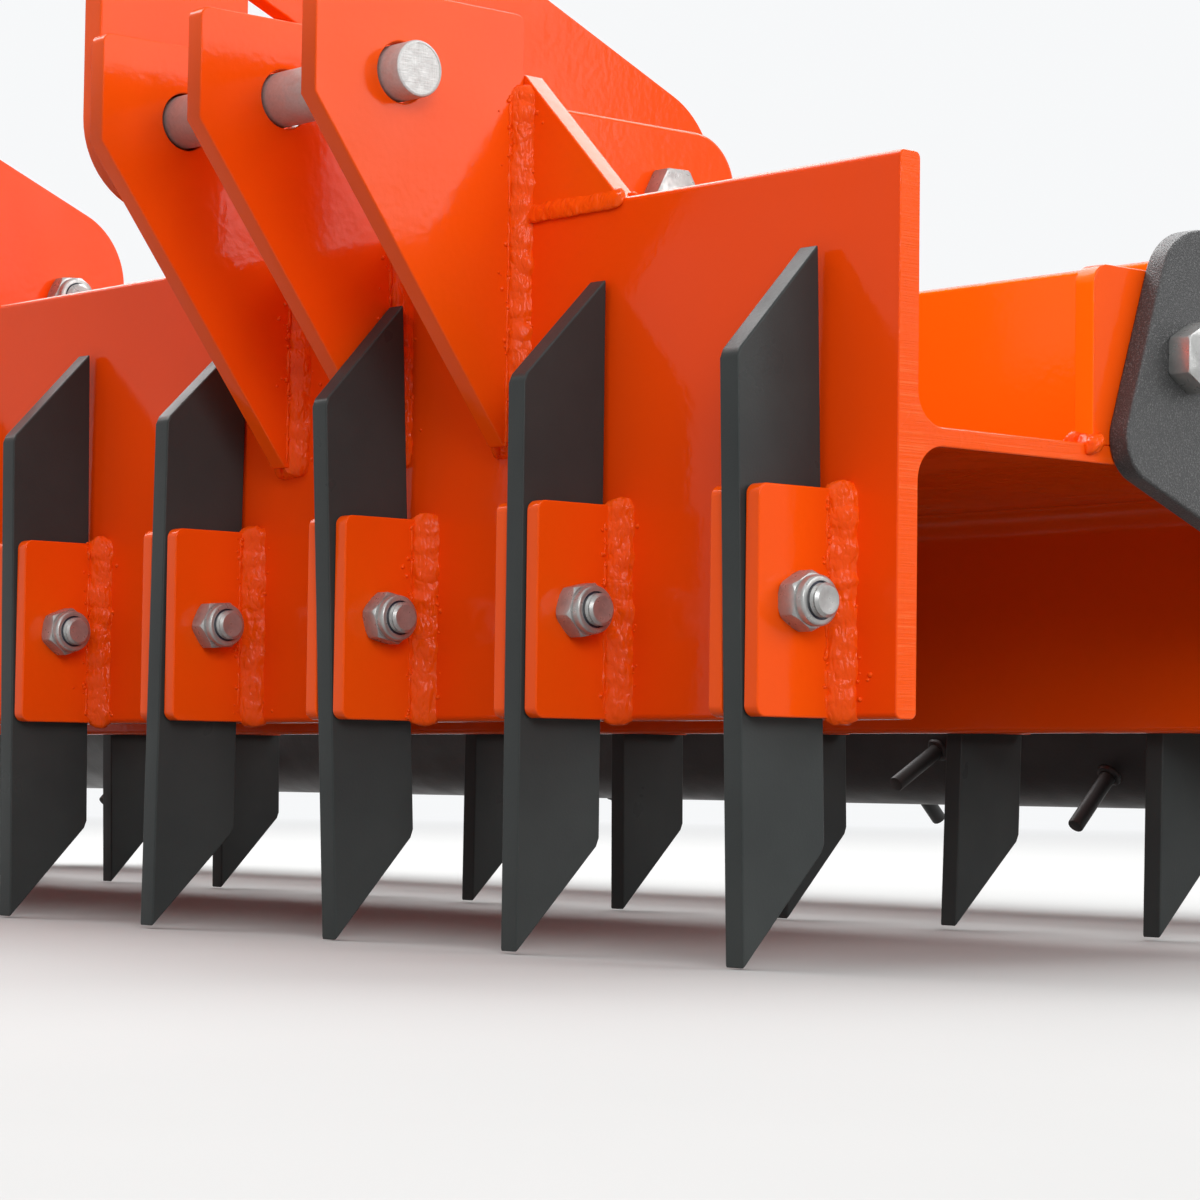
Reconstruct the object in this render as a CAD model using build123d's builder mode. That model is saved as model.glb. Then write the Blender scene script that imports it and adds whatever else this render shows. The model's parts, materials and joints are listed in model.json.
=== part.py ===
# Three-point hitch soil pulverizer, in millimetres.
# +X runs along the beam to the machine's left, -Y is the hitch side, +Z is up.
# The origin is at floor level, under the middle of the machine's overall box.

import os
from math import atan2, cos, radians, sin, tan

from build123d import *

os.makedirs("parts", exist_ok=True)

# Main beam, an H section lying on its side
beam_length = 1274.0
beam_depth = 279.0
flange_height = 203.0
flange_thickness = 10.5
web_thickness = 7.0
web_fillet = 13.0
flange_round = 1.5

# Teeth, flat bars with a slanted cut at both ends
tooth_length = 259.0
tooth_width = 41.0
tooth_thickness = 9.6
tooth_cut_angle = 45.0
tooth_corner = 2.0
tooth_gap_to_flange = 2.3
bolt_height = 41.5
front_tooth_pitch = 119.5
rear_tooth_pitch = 116.0
tooth_end_gap = 20.0

# Each tooth's lean about its bolt, right to left, in degrees with the top forward; a longer row starts again
front_tooth_leans = [0.6, -0.5, 2.5, 0.4, -0.6, 0.0, 0.9, -0.8, 2.5, 0.0, 1.6]
rear_tooth_leans = [0.3, 0.5, 1.4, 0.8, 0.0, -0.4, 0.7, 1.4, -2.0, -1.0]

# Bracket plates that hold each tooth, in pairs
plate_height = 82.5
plate_depth = 42.0
plate_thickness = 7.0
plate_corner = 4.0
plate_side_gap = 0.8

# Tooth bolts and lock nuts
tooth_bolt_diameter = 12.7
tooth_bolt_flats = 19.05
tooth_bolt_head = 8.0
tooth_nut_height = 12.0
tooth_bolt_stickout = 3.8
bolt_hole_gap = 0.4
bolt_stickout = 3.0

# Hitch lugs, three to a side
lug_thickness = 9.5
lug_reach = 104.0
lug_top = 283.0
lug_kink = 238.0
lug_toe = 109.0
lug_toe_depth = 8.0
lug_corner = 4.0
lug_outer_place = 429.0
lug_middle_place = 353.0
lug_inner_place = 283.0
hitch_pin_diameter = 22.2
hitch_pin_reach = 62.0
hitch_pin_height = 251.0
hitch_pin_stickout = 11.0
hitch_pin_head_diameter = 34.0
hitch_pin_head = 7.0
pin_hole_gap = 0.9

# Gusset that braces each outer lug on the beam's top edge
gusset_width = 58.0
gusset_height = 56.0
gusset_thickness = 9.5

# Mast
leg_width = 75.0
leg_thickness = 12.7
leg_bend_rise = 50.0
leg_neck_drop = 58.0
top_link_rise = 457.0
top_link_hole = 19.3
top_link_gap = 54.0
head_tie_thickness = 9.5
head_tie_height = 50.0

# Rear brackets on the web, and the braces from them to the mast
bracket_thickness = 9.5
bracket_front = 70.0
bracket_top = 289.0
bracket_corner = 26.0
bracket_slope = 46.0
brace_width = 88.0
brace_thickness = 9.5
brace_end_back = 219.0
brace_end_height = 266.0
brace_bolt_back = 222.0
brace_bolt_height = 255.0
brace_leg_height = 386.0
brace_bolt_diameter = 15.9
brace_bolt_flats = 23.8
brace_bolt_head = 10.0
brace_nut_height = 13.5

# End lugs on the web, and the arms bolted to them that carry the roller
end_lug_thickness = 9.5
end_lug_length = 163.5
end_lug_top = 173.5
end_lug_corner = 8.0
arm_thickness = 9.5
arm_heel_ahead = 18.5
arm_heel_height = 108.0
arm_heel_radius = 17.0
arm_crown_behind = 9.0
arm_crown_height = 165.5
arm_crown_radius = 25.0
arm_end_radius = 62.0
arm_bolt_diameter = 15.9
arm_bolt_flats = 23.8
arm_bolt_head = 10.0
arm_nut_height = 13.5
arm_bolt_inset = 35.5
arm_bolt_height = 140.0
arm_bolt_spacing = 84.0
arm_bolt_drop = 10.0

# Spiked roller
roller_behind_beam = 191.0
roller_height = 23.0
drum_diameter = 114.0
drum_wall = 6.0
drum_end_gap = 18.0
spike_diameter = 8.0
spike_length = 36.0
spike_seat = 2.0
spike_ring_pitch = 106.0
spike_ring_end_gap = 15.0
spike_ring_turn = 15.0
middle_ring_angle = 172.5
spikes_per_ring = 3
axle_diameter = 38.0
axle_stickout = 6.0
axle_arm_gap = 4.0
bearing_running_gap = 0.05
bearing_size = 92.0
bearing_flange = 12.0
bearing_hub = 14.0
bearing_hub_diameter = 64.0
bearing_bolt_diameter = 12.7
bearing_bolt_flats = 19.05
bearing_bolt_head = 8.0
bearing_bolt_spacing = 66.0
bearing_corner = 14.0

# Places worked out from the sizes above
half_length = beam_length / 2
tooth_drop = max(
    tooth_length / 2 * cos(radians(lean)) + tooth_width / 2 * sin(radians(lean))
    for lean in front_tooth_leans + rear_tooth_leans
)
flange_bottom = tooth_drop - bolt_height
flange_top = flange_bottom + flange_height
beam_middle = flange_bottom + flange_height / 2
web_top = beam_middle + web_thickness / 2
drum_radius = drum_diameter / 2
spike_reach = drum_radius + spike_length
roller_back = beam_depth + roller_behind_beam
rear_flange_back = beam_depth - flange_thickness
arm_bolt_back = rear_flange_back - arm_bolt_inset - arm_bolt_spacing
end_lug_front = rear_flange_back - end_lug_length
roller_level = flange_bottom + roller_height
front_face = (lug_reach - roller_back - spike_reach) / 2
rear_face = front_face + beam_depth
roller_y = front_face + roller_back
tooth_level = flange_bottom + bolt_height
tooth_offset = tooth_gap_to_flange + tooth_width / 2
pin_y = front_face - hitch_pin_reach
pin_level = flange_bottom + hitch_pin_height
top_link_level = pin_level + top_link_rise
head_inner = top_link_gap / 2
head_middle = head_inner + leg_thickness / 2
lug_inner_face = lug_inner_place - lug_thickness
leg_middle = lug_inner_face - leg_thickness / 2
leg_front = pin_y - leg_width / 2
leg_rear = pin_y + leg_width / 2
bracket_inner = lug_inner_face - leg_thickness
bracket_outer = bracket_inner + bracket_thickness
brace_end = (front_face + brace_end_back, flange_bottom + brace_end_height)
brace_y = front_face + brace_bolt_back
brace_level = flange_bottom + brace_bolt_height
brace_leg_level = flange_bottom + brace_leg_height
sides = {"left": 1, "right": -1}


def at(back, height):
    """Side-view point: distance behind the beam's front face, height above its lower edge."""
    return (front_face + back, flange_bottom + height)


def side_plane(x):
    """Plane across the beam at x, whose sketch axes are Y and Z."""
    return Plane(origin=(x, 0, 0), x_dir=(0, 1, 0), z_dir=(1, 0, 0))


def row_places(reach, pitch, odd):
    """Places of an even row about the middle, as many as fit within the reach to each side."""
    count = 2 * int(reach / pitch) + 1 if odd else 2 * int(reach / pitch + 0.5)
    return [(index - (count - 1) / 2) * pitch for index in range(count)]


def save(part, name):
    part.label = name
    export_step(part, f"parts/{name}.step")


# Main beam
with BuildPart() as main_beam:
    with BuildSketch(side_plane(-half_length)) as beam_profile:
        with Locations((front_face + beam_depth / 2, beam_middle)):
            Rectangle(beam_depth, flange_height)
            channel = (flange_height - web_thickness) / 2
            with Locations((0, (channel + web_thickness) / 2), (0, -(channel + web_thickness) / 2)):
                Rectangle(beam_depth - 2 * flange_thickness, channel, mode=Mode.SUBTRACT)
        corners = beam_profile.vertices()
        roots = [v for v in corners if abs(v.Y - beam_middle) < web_thickness]
        edges_of_flange = [v for v in corners if abs(v.Y - beam_middle) >= web_thickness]
        fillet(roots, web_fillet)
        fillet(edges_of_flange, flange_round)
    extrude(amount=beam_length)
save(main_beam.part, "main_beam")


# Teeth: one outline, repeated along each row
tooth_slant = tooth_width * tan(radians(tooth_cut_angle))
front_places = row_places(half_length - tooth_end_gap, front_tooth_pitch, odd=True)
rear_places = row_places(half_length - tooth_end_gap, rear_tooth_pitch, odd=False)
tooth_rows = {
    # row name: (leans, places along the beam, middle of the tooth in Y, side of the flange the row is on)
    "front": (front_tooth_leans, front_places, front_face - tooth_offset, -1),
    "rear": (rear_tooth_leans, rear_places, rear_face + tooth_offset, 1),
}


def lean_at(leans, index, count):
    return leans[(index + (len(leans) - count) // 2) % len(leans)]


def tooth_plane(x, tooth_y, lean):
    """Plane through a tooth's bolt, whose sketch axes lean with the tooth."""
    turn = radians(lean)
    return Plane(origin=(x, tooth_y, tooth_level), x_dir=(0, cos(turn), sin(turn)), z_dir=(1, 0, 0))


for row, (leans, places, tooth_y, flange_side) in tooth_rows.items():
    for index, x in enumerate(places):
        lean = lean_at(leans, index, len(places))
        with BuildPart() as tooth:
            with BuildSketch(tooth_plane(x, tooth_y, lean)) as tooth_outline:
                with BuildLine():
                    half_width = tooth_width / 2
                    half_tall = tooth_length / 2
                    Polyline(
                        (-half_width, -half_tall),
                        (half_width, tooth_slant - half_tall),
                        (half_width, half_tall),
                        (-half_width, half_tall - tooth_slant),
                        close=True,
                    )
                make_face()
                chamfer(tooth_outline.vertices().sort_by(Axis.Y)[1:3], tooth_corner)
                Circle(tooth_bolt_diameter / 2 + bolt_hole_gap, mode=Mode.SUBTRACT)
            extrude(amount=tooth_thickness / 2, both=True)
        save(tooth.part, f"{row}_tooth_{index + 1:02d}")

# Bracket plates and bolts of each row
plate_middle = tooth_thickness / 2 + plate_side_gap + plate_thickness / 2
plate_outer = plate_middle + plate_thickness / 2
for row, (leans, places, tooth_y, flange_side) in tooth_rows.items():
    flange_face = front_face if flange_side < 0 else rear_face
    plate_y = flange_face + flange_side * plate_depth / 2
    with BuildPart() as tooth_plates:
        for x in places:
            for offset in (-plate_middle, plate_middle):
                with BuildSketch(side_plane(x + offset)) as plate_outline:
                    with Locations((plate_y, tooth_level)):
                        Rectangle(plate_depth, plate_height)
                    free_corners = plate_outline.vertices().group_by(Axis.X)
                    fillet(free_corners[-1] if flange_side > 0 else free_corners[0], plate_corner)
                    with Locations((tooth_y, tooth_level)):
                        Circle(tooth_bolt_diameter / 2 + bolt_hole_gap, mode=Mode.SUBTRACT)
                extrude(amount=plate_thickness / 2, both=True)
    save(tooth_plates.part, f"{row}_tooth_plates")

    with BuildPart() as tooth_bolts:
        for x in places:
            with BuildSketch(side_plane(x - plate_outer)):
                with Locations((tooth_y, tooth_level)):
                    Circle(tooth_bolt_diameter / 2)
            extrude(amount=2 * plate_outer + tooth_nut_height + tooth_bolt_stickout)
            with BuildSketch(side_plane(x - plate_outer)):
                with Locations((tooth_y, tooth_level)):
                    RegularPolygon(tooth_bolt_flats / 2, 6, major_radius=False)
            extrude(amount=-tooth_bolt_head)
            with BuildSketch(side_plane(x + plate_outer)):
                with Locations((tooth_y, tooth_level)):
                    RegularPolygon(tooth_bolt_flats / 2, 6, major_radius=False)
            extrude(amount=tooth_nut_height)
    save(tooth_bolts.part, f"{row}_tooth_bolts")


# Hitch lugs: three plates to a side with one pin through them
lug_places = {"outer": lug_outer_place, "middle": lug_middle_place, "inner": lug_inner_place}
for side, sign in sides.items():
    for place, outer_face in lug_places.items():
        with BuildPart() as hitch_lug:
            with BuildSketch(side_plane(sign * (outer_face - lug_thickness / 2))) as lug_outline:
                with BuildLine():
                    Polyline(
                        at(0, lug_toe),
                        at(-lug_toe_depth, lug_toe),
                        at(-lug_reach, lug_kink),
                        at(-lug_reach, lug_top),
                        at(0, lug_top),
                        close=True,
                    )
                make_face()
                fillet(lug_outline.vertices().group_by(Axis.Y)[-1], lug_corner)
                with Locations((pin_y, pin_level)):
                    Circle(hitch_pin_diameter / 2 + pin_hole_gap, mode=Mode.SUBTRACT)
            extrude(amount=lug_thickness / 2, both=True)
        save(hitch_lug.part, f"hitch_lug_{side}_{place}")

    pin_outer = lug_outer_place + hitch_pin_stickout
    pin_inner = lug_inner_face - leg_thickness
    with BuildPart() as hitch_pin:
        with BuildSketch(side_plane(sign * pin_inner)):
            with Locations((pin_y, pin_level)):
                Circle(hitch_pin_diameter / 2)
        extrude(amount=sign * (pin_outer - pin_inner))
        chamfer(hitch_pin.faces().sort_by(Axis.X)[-1 if sign > 0 else 0].edges(), 1.5)
        with BuildSketch(side_plane(sign * pin_inner)):
            with Locations((pin_y, pin_level)):
                Circle(hitch_pin_head_diameter / 2)
        extrude(amount=-sign * hitch_pin_head)
    save(hitch_pin.part, f"hitch_pin_{side}")

    gusset_inner = lug_outer_place - lug_thickness
    with BuildPart() as hitch_gusset:
        with BuildSketch(Plane.XZ.offset(-front_face)):
            with BuildLine():
                gusset_outer = lug_outer_place + gusset_width
                Polyline(
                    (sign * gusset_inner, flange_top),
                    (sign * gusset_outer, flange_top),
                    (sign * (gusset_inner + lug_thickness), flange_top + gusset_height),
                    (sign * gusset_inner, flange_top + gusset_height),
                    close=True,
                )
            make_face()
        extrude(amount=-gusset_thickness)
    save(hitch_gusset.part, f"hitch_gusset_{side}")


# Mast: two bent legs from the hitch pins to the top link, and a tie between their heads
def bent_strip(points, thickness):
    """Outline of a flat bar seen on edge that follows points with mitred bends."""
    headings = [atan2(b[1] - a[1], b[0] - a[0]) for a, b in zip(points, points[1:])]
    left, right = [], []
    for index, (u, v) in enumerate(points):
        before = headings[max(index - 1, 0)]
        after = headings[min(index, len(headings) - 1)]
        half = (before + after) / 2
        reach = thickness / 2 / cos((after - before) / 2)
        left.append((u - reach * sin(half), v + reach * cos(half)))
        right.append((u + reach * sin(half), v - reach * cos(half)))
    return left + right[::-1]


for side, sign in sides.items():
    with BuildPart() as mast_leg:
        with BuildSketch(Plane.XZ.offset(-leg_front)):
            with BuildLine():
                leg_path = [
                    (sign * leg_middle, pin_level - leg_width),
                    (sign * leg_middle, brace_leg_level + leg_bend_rise),
                    (sign * head_middle, top_link_level - leg_neck_drop),
                    (sign * head_middle, top_link_level + leg_width),
                ]
                Polyline(*bent_strip(leg_path, leg_thickness), close=True)
            make_face()
        extrude(amount=-leg_width)
        with BuildSketch(side_plane(0)):
            with Locations((pin_y, (pin_level + top_link_level) / 2)):
                SlotCenterToCenter(top_link_rise, leg_width, rotation=90)
        extrude(amount=half_length, both=True, mode=Mode.INTERSECT)
        with BuildSketch(side_plane(sign * (leg_middle - leg_thickness))):
            with Locations((pin_y, pin_level)):
                Circle(hitch_pin_diameter / 2 + pin_hole_gap)
            with Locations((pin_y, brace_leg_level)):
                Circle(brace_bolt_diameter / 2 + bolt_hole_gap)
        extrude(amount=sign * 2 * leg_thickness, mode=Mode.SUBTRACT)
        with BuildSketch(side_plane(0)):
            with Locations((pin_y, top_link_level)):
                Circle(top_link_hole / 2)
        extrude(amount=sign * 2 * head_middle, mode=Mode.SUBTRACT)
    save(mast_leg.part, f"mast_leg_{side}")

with BuildPart() as mast_tie:
    with BuildSketch(Plane.XZ.offset(-(leg_rear - head_tie_thickness))):
        with Locations((0, top_link_level - head_tie_height / 2)):
            Rectangle(top_link_gap, head_tie_height)
    extrude(amount=-head_tie_thickness)
save(mast_tie.part, "mast_tie")


# Rear brackets stand on the web, and a flat brace runs from each to the mast leg
for side, sign in sides.items():
    with BuildPart() as rear_bracket:
        with BuildSketch(side_plane(sign * (bracket_outer - bracket_thickness / 2))) as bracket_outline:
            with BuildLine():
                web_height = web_top - flange_bottom
                Polyline(
                    at(bracket_front, web_height),
                    at(rear_flange_back - web_fillet, web_height),
                    at(rear_flange_back, web_height + web_fillet),
                    at(rear_flange_back, bracket_top),
                    at(bracket_front + bracket_slope, bracket_top),
                    at(bracket_front, bracket_top - bracket_slope),
                    close=True,
                )
            make_face()
            fillet(bracket_outline.vertices().sort_by(Axis.Y)[-2:].sort_by(Axis.X)[-1], bracket_corner)
            with Locations((brace_y, brace_level)):
                Circle(brace_bolt_diameter / 2 + bolt_hole_gap, mode=Mode.SUBTRACT)
        extrude(amount=bracket_thickness / 2, both=True)
    save(rear_bracket.part, f"rear_bracket_{side}")

    with BuildPart() as mast_brace:
        with BuildSketch(side_plane(sign * bracket_inner)):
            with Locations(brace_end, (pin_y, brace_leg_level)):
                Circle(brace_width / 2)
            make_hull()
            with Locations((brace_y, brace_level), (pin_y, brace_leg_level)):
                Circle(brace_bolt_diameter / 2 + bolt_hole_gap, mode=Mode.SUBTRACT)
        extrude(amount=-sign * brace_thickness)
    save(mast_brace.part, f"mast_brace_{side}")

with BuildPart() as brace_bolts:
    for sign in sides.values():
        for place, plate in (((brace_y, brace_level), bracket_thickness), ((pin_y, brace_leg_level), leg_thickness)):
            with BuildSketch(side_plane(sign * (bracket_inner + plate))):
                with Locations(place):
                    Circle(brace_bolt_diameter / 2)
            extrude(amount=-sign * (plate + brace_thickness + brace_nut_height + bolt_stickout))
            with BuildSketch(side_plane(sign * (bracket_inner + plate))):
                with Locations(place):
                    RegularPolygon(brace_bolt_flats / 2, 6, major_radius=False)
            extrude(amount=sign * brace_bolt_head)
            with BuildSketch(side_plane(sign * (bracket_inner - brace_thickness))):
                with Locations(place):
                    RegularPolygon(brace_bolt_flats / 2, 6, major_radius=False)
            extrude(amount=-sign * brace_nut_height)
save(brace_bolts.part, "brace_bolts")


# End lugs and roller arms
arm_bolts_at = [
    at(arm_bolt_back, arm_bolt_height),
    at(arm_bolt_back + arm_bolt_spacing, arm_bolt_height - arm_bolt_drop),
]
for side, sign in sides.items():
    with BuildPart() as end_lug:
        with BuildSketch(side_plane(sign * (half_length - end_lug_thickness / 2))) as end_lug_outline:
            with BuildLine():
                web_height = web_top - flange_bottom
                Polyline(
                    at(end_lug_front, web_height),
                    at(rear_flange_back - web_fillet, web_height),
                    at(rear_flange_back, web_height + web_fillet),
                    at(rear_flange_back, end_lug_top),
                    at(end_lug_front, end_lug_top),
                    close=True,
                )
            make_face()
            fillet(end_lug_outline.vertices().group_by(Axis.Y)[-1].sort_by(Axis.X)[0], end_lug_corner)
            with Locations(*arm_bolts_at):
                Circle(arm_bolt_diameter / 2 + bolt_hole_gap, mode=Mode.SUBTRACT)
        extrude(amount=end_lug_thickness / 2, both=True)
    save(end_lug.part, f"end_lug_{side}")

    with BuildPart() as roller_arm:
        with BuildSketch(side_plane(sign * (half_length + arm_thickness / 2))):
            with Locations(at(arm_bolt_back - arm_heel_ahead, arm_heel_height)):
                Circle(arm_heel_radius)
            with Locations(at(arm_bolt_back + arm_crown_behind, arm_crown_height)):
                Circle(arm_crown_radius)
            with Locations((roller_y, roller_level)):
                Circle(arm_end_radius)
            make_hull()
            with Locations(*arm_bolts_at):
                Circle(arm_bolt_diameter / 2 + bolt_hole_gap, mode=Mode.SUBTRACT)
            with Locations((roller_y, roller_level)):
                Circle(axle_diameter / 2 + axle_arm_gap, mode=Mode.SUBTRACT)
                with GridLocations(bearing_bolt_spacing, bearing_bolt_spacing, 2, 2):
                    Circle(bearing_bolt_diameter / 2 + bolt_hole_gap, mode=Mode.SUBTRACT)
        extrude(amount=arm_thickness / 2, both=True)
    save(roller_arm.part, f"roller_arm_{side}")

    with BuildPart() as roller_bearing:
        with BuildSketch(side_plane(sign * (half_length + arm_thickness))) as bearing_base:
            with Locations((roller_y, roller_level)):
                Rectangle(bearing_size, bearing_size)
            fillet(bearing_base.vertices(), bearing_corner)
            with Locations((roller_y, roller_level)):
                with GridLocations(bearing_bolt_spacing, bearing_bolt_spacing, 2, 2):
                    Circle(bearing_bolt_diameter / 2 + bolt_hole_gap, mode=Mode.SUBTRACT)
        extrude(amount=sign * bearing_flange)
        with BuildSketch(side_plane(sign * (half_length + arm_thickness + bearing_flange))):
            with Locations((roller_y, roller_level)):
                Circle(bearing_hub_diameter / 2)
        extrude(amount=sign * bearing_hub, taper=8)
        with BuildSketch(side_plane(sign * half_length)):
            with Locations((roller_y, roller_level)):
                Circle(axle_diameter / 2 + bearing_running_gap)
        extrude(amount=sign * (arm_thickness + bearing_flange + bearing_hub), mode=Mode.SUBTRACT)
    save(roller_bearing.part, f"roller_bearing_{side}")

with BuildPart() as arm_bolts:
    for sign in sides.values():
        with BuildSketch(side_plane(sign * (half_length + arm_thickness))):
            with Locations(*arm_bolts_at):
                Circle(arm_bolt_diameter / 2)
        extrude(amount=-sign * (arm_thickness + end_lug_thickness + arm_nut_height + bolt_stickout))
        with BuildSketch(side_plane(sign * (half_length + arm_thickness))):
            with Locations(*arm_bolts_at):
                RegularPolygon(arm_bolt_flats / 2, 6, major_radius=False)
        extrude(amount=sign * arm_bolt_head)
        with BuildSketch(side_plane(sign * (half_length - end_lug_thickness))):
            with Locations(*arm_bolts_at):
                RegularPolygon(arm_bolt_flats / 2, 6, major_radius=False)
        extrude(amount=-sign * arm_nut_height)
save(arm_bolts.part, "arm_bolts")

with BuildPart() as bearing_bolts:
    for sign in sides.values():
        outer = half_length + arm_thickness + bearing_flange
        with BuildSketch(side_plane(sign * outer)):
            with Locations((roller_y, roller_level)):
                with GridLocations(bearing_bolt_spacing, bearing_bolt_spacing, 2, 2):
                    Circle(bearing_bolt_diameter / 2)
        extrude(amount=-sign * (arm_thickness + bearing_flange))
        for face_x, amount in ((outer, bearing_bolt_head), (half_length, -bearing_bolt_head)):
            with BuildSketch(side_plane(sign * face_x)):
                with Locations((roller_y, roller_level)):
                    with GridLocations(bearing_bolt_spacing, bearing_bolt_spacing, 2, 2):
                        RegularPolygon(bearing_bolt_flats / 2, 6, major_radius=False)
            extrude(amount=sign * amount)
save(bearing_bolts.part, "bearing_bolts")


# Spiked roller: tube, end discs, stub axles and rings of rod spikes, all one body
drum_half = half_length - drum_end_gap
axle_end = half_length + arm_thickness + bearing_flange + bearing_hub + axle_stickout
spike_feet = []
for ring_x in row_places(drum_half - spike_ring_end_gap, spike_ring_pitch, odd=False):
    step = ring_x / spike_ring_pitch
    for spike in range(spikes_per_ring):
        angle = radians(middle_ring_angle + step * spike_ring_turn + spike * 360 / spikes_per_ring)
        seat = drum_radius - spike_seat
        foot = (ring_x, roller_y + seat * cos(angle), roller_level + seat * sin(angle))
        spike_feet.append(Plane(origin=foot, x_dir=(1, 0, 0), z_dir=(0, cos(angle), sin(angle))))
with BuildPart() as roller:
    with BuildSketch(side_plane(-drum_half)):
        with Locations((roller_y, roller_level)):
            Circle(drum_radius)
            Circle(drum_radius - drum_wall, mode=Mode.SUBTRACT)
    extrude(amount=2 * drum_half)
    for sign in sides.values():
        with BuildSketch(side_plane(sign * drum_half)):
            with Locations((roller_y, roller_level)):
                Circle(drum_radius)
        extrude(amount=-sign * drum_wall)
        with BuildSketch(side_plane(sign * drum_half)):
            with Locations((roller_y, roller_level)):
                Circle(axle_diameter / 2)
        extrude(amount=sign * (axle_end - drum_half))
    with BuildSketch(*spike_feet):
        Circle(spike_diameter / 2)
    extrude(amount=spike_length + spike_seat)
save(roller.part, "roller")
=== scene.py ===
import bmesh
import bpy
import json
import random
from math import cos, radians, sin
from mathutils import Matrix, Vector


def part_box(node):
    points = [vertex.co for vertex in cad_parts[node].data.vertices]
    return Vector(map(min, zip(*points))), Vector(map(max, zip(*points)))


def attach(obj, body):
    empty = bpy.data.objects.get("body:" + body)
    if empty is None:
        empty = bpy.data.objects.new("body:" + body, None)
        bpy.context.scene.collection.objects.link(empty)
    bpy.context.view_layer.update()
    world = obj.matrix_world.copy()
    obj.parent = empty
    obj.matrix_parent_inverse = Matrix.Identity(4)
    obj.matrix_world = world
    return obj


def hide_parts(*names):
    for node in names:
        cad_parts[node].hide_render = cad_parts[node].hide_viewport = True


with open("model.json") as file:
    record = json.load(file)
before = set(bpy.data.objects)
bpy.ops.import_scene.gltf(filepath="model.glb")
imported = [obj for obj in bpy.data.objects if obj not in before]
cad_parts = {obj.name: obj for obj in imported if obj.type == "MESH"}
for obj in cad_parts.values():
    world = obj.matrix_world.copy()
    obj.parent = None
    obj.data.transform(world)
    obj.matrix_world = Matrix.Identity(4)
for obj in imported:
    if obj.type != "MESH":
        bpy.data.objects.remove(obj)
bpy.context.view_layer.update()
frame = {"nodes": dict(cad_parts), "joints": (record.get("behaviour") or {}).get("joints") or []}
nodes = frame["nodes"]
print("frame loaded:", len(nodes), "nodes")


# Camera

camera = {
    "fromBeam": (0.85286, -0.89260, -0.02150),  # from the beam's left end, front face and lower edge
    "turn": (92.899, -0.717, 48.528),  # degrees about X, Y, Z
    "lens": 104.735,
    "sensor": 36,
    "farthest": 100,
}
beamLow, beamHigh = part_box("main_beam")
beamCorner = Vector((beamHigh.x, beamLow.y, beamLow.z))
bpy.ops.object.camera_add(
    location=beamCorner + Vector(camera["fromBeam"]),
    rotation=[radians(angle) for angle in camera["turn"]],
)
eye = bpy.context.object
eye.name = "camera"
eye.data.lens = camera["lens"]
eye.data.sensor_width = camera["sensor"]
eye.data.clip_end = camera["farthest"]
bpy.context.scene.camera = eye
print("camera placed")


# Node helpers for the finishes

def startFinish(name):
    finish = bpy.data.materials.new(name)
    finish.use_nodes = True
    tree = finish.node_tree
    shader = tree.nodes["Principled BSDF"]
    place = tree.nodes.new("ShaderNodeTexCoord").outputs["Object"]
    return finish, tree, shader, place


def stretched(tree, place, scale, turn=(0, 0, 0)):
    mapping = tree.nodes.new("ShaderNodeMapping")
    mapping.inputs["Scale"].default_value = scale
    mapping.inputs["Rotation"].default_value = [radians(angle) for angle in turn]
    tree.links.new(place, mapping.inputs["Vector"])
    return mapping.outputs["Vector"]


def noiseOn(tree, place, scale, detail=3, rough=0.5):
    noise = tree.nodes.new("ShaderNodeTexNoise")
    noise.inputs["Scale"].default_value = scale
    noise.inputs["Detail"].default_value = detail
    noise.inputs["Roughness"].default_value = rough
    tree.links.new(place, noise.inputs["Vector"])
    return noise.outputs["Fac"]


def spread(tree, value, low, high, outLow=0.0, outHigh=1.0):
    span = tree.nodes.new("ShaderNodeMapRange")
    for name, number in (("From Min", low), ("From Max", high), ("To Min", outLow), ("To Max", outHigh)):
        span.inputs[name].default_value = number
    tree.links.new(value, span.inputs["Value"])
    return span.outputs["Result"]


def combine(tree, kind, first, second):
    maths = tree.nodes.new("ShaderNodeMath")
    maths.operation = kind
    for socket, value in zip(maths.inputs, (first, second)):
        if isinstance(value, (int, float)):
            socket.default_value = value
        else:
            tree.links.new(value, socket)
    return maths.outputs["Value"]


def blendTones(tree, factor, first, second):
    mix = tree.nodes.new("ShaderNodeMix")
    mix.data_type = "RGBA"
    tree.links.new(factor, mix.inputs["Factor"])
    for socket, tone in ((mix.inputs["A"], first), (mix.inputs["B"], second)):
        if isinstance(tone, tuple):
            socket.default_value = (*tone, 1)
        else:
            tree.links.new(tone, socket)
    return mix.outputs["Result"]


def raiseBumps(tree, shader, height, strength, distance, under=None):
    bump = tree.nodes.new("ShaderNodeBump")
    bump.inputs["Strength"].default_value = strength
    bump.inputs["Distance"].default_value = distance
    tree.links.new(height, bump.inputs["Height"])
    if under is not None:
        tree.links.new(under, bump.inputs["Normal"])
    tree.links.new(bump.outputs["Normal"], shader.inputs["Normal"])
    return bump.outputs["Normal"]


def facing(tree, axis, sign=0):  # 1 where a face is square to the axis, with sign 0 either way
    geometry = tree.nodes.new("ShaderNodeNewGeometry")
    parts = tree.nodes.new("ShaderNodeSeparateXYZ")
    tree.links.new(geometry.outputs["Normal"], parts.inputs[0])
    if sign:
        return combine(tree, "MULTIPLY", parts.outputs[axis], sign)
    return combine(tree, "ABSOLUTE", parts.outputs[axis], 0)


# Finishes

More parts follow.
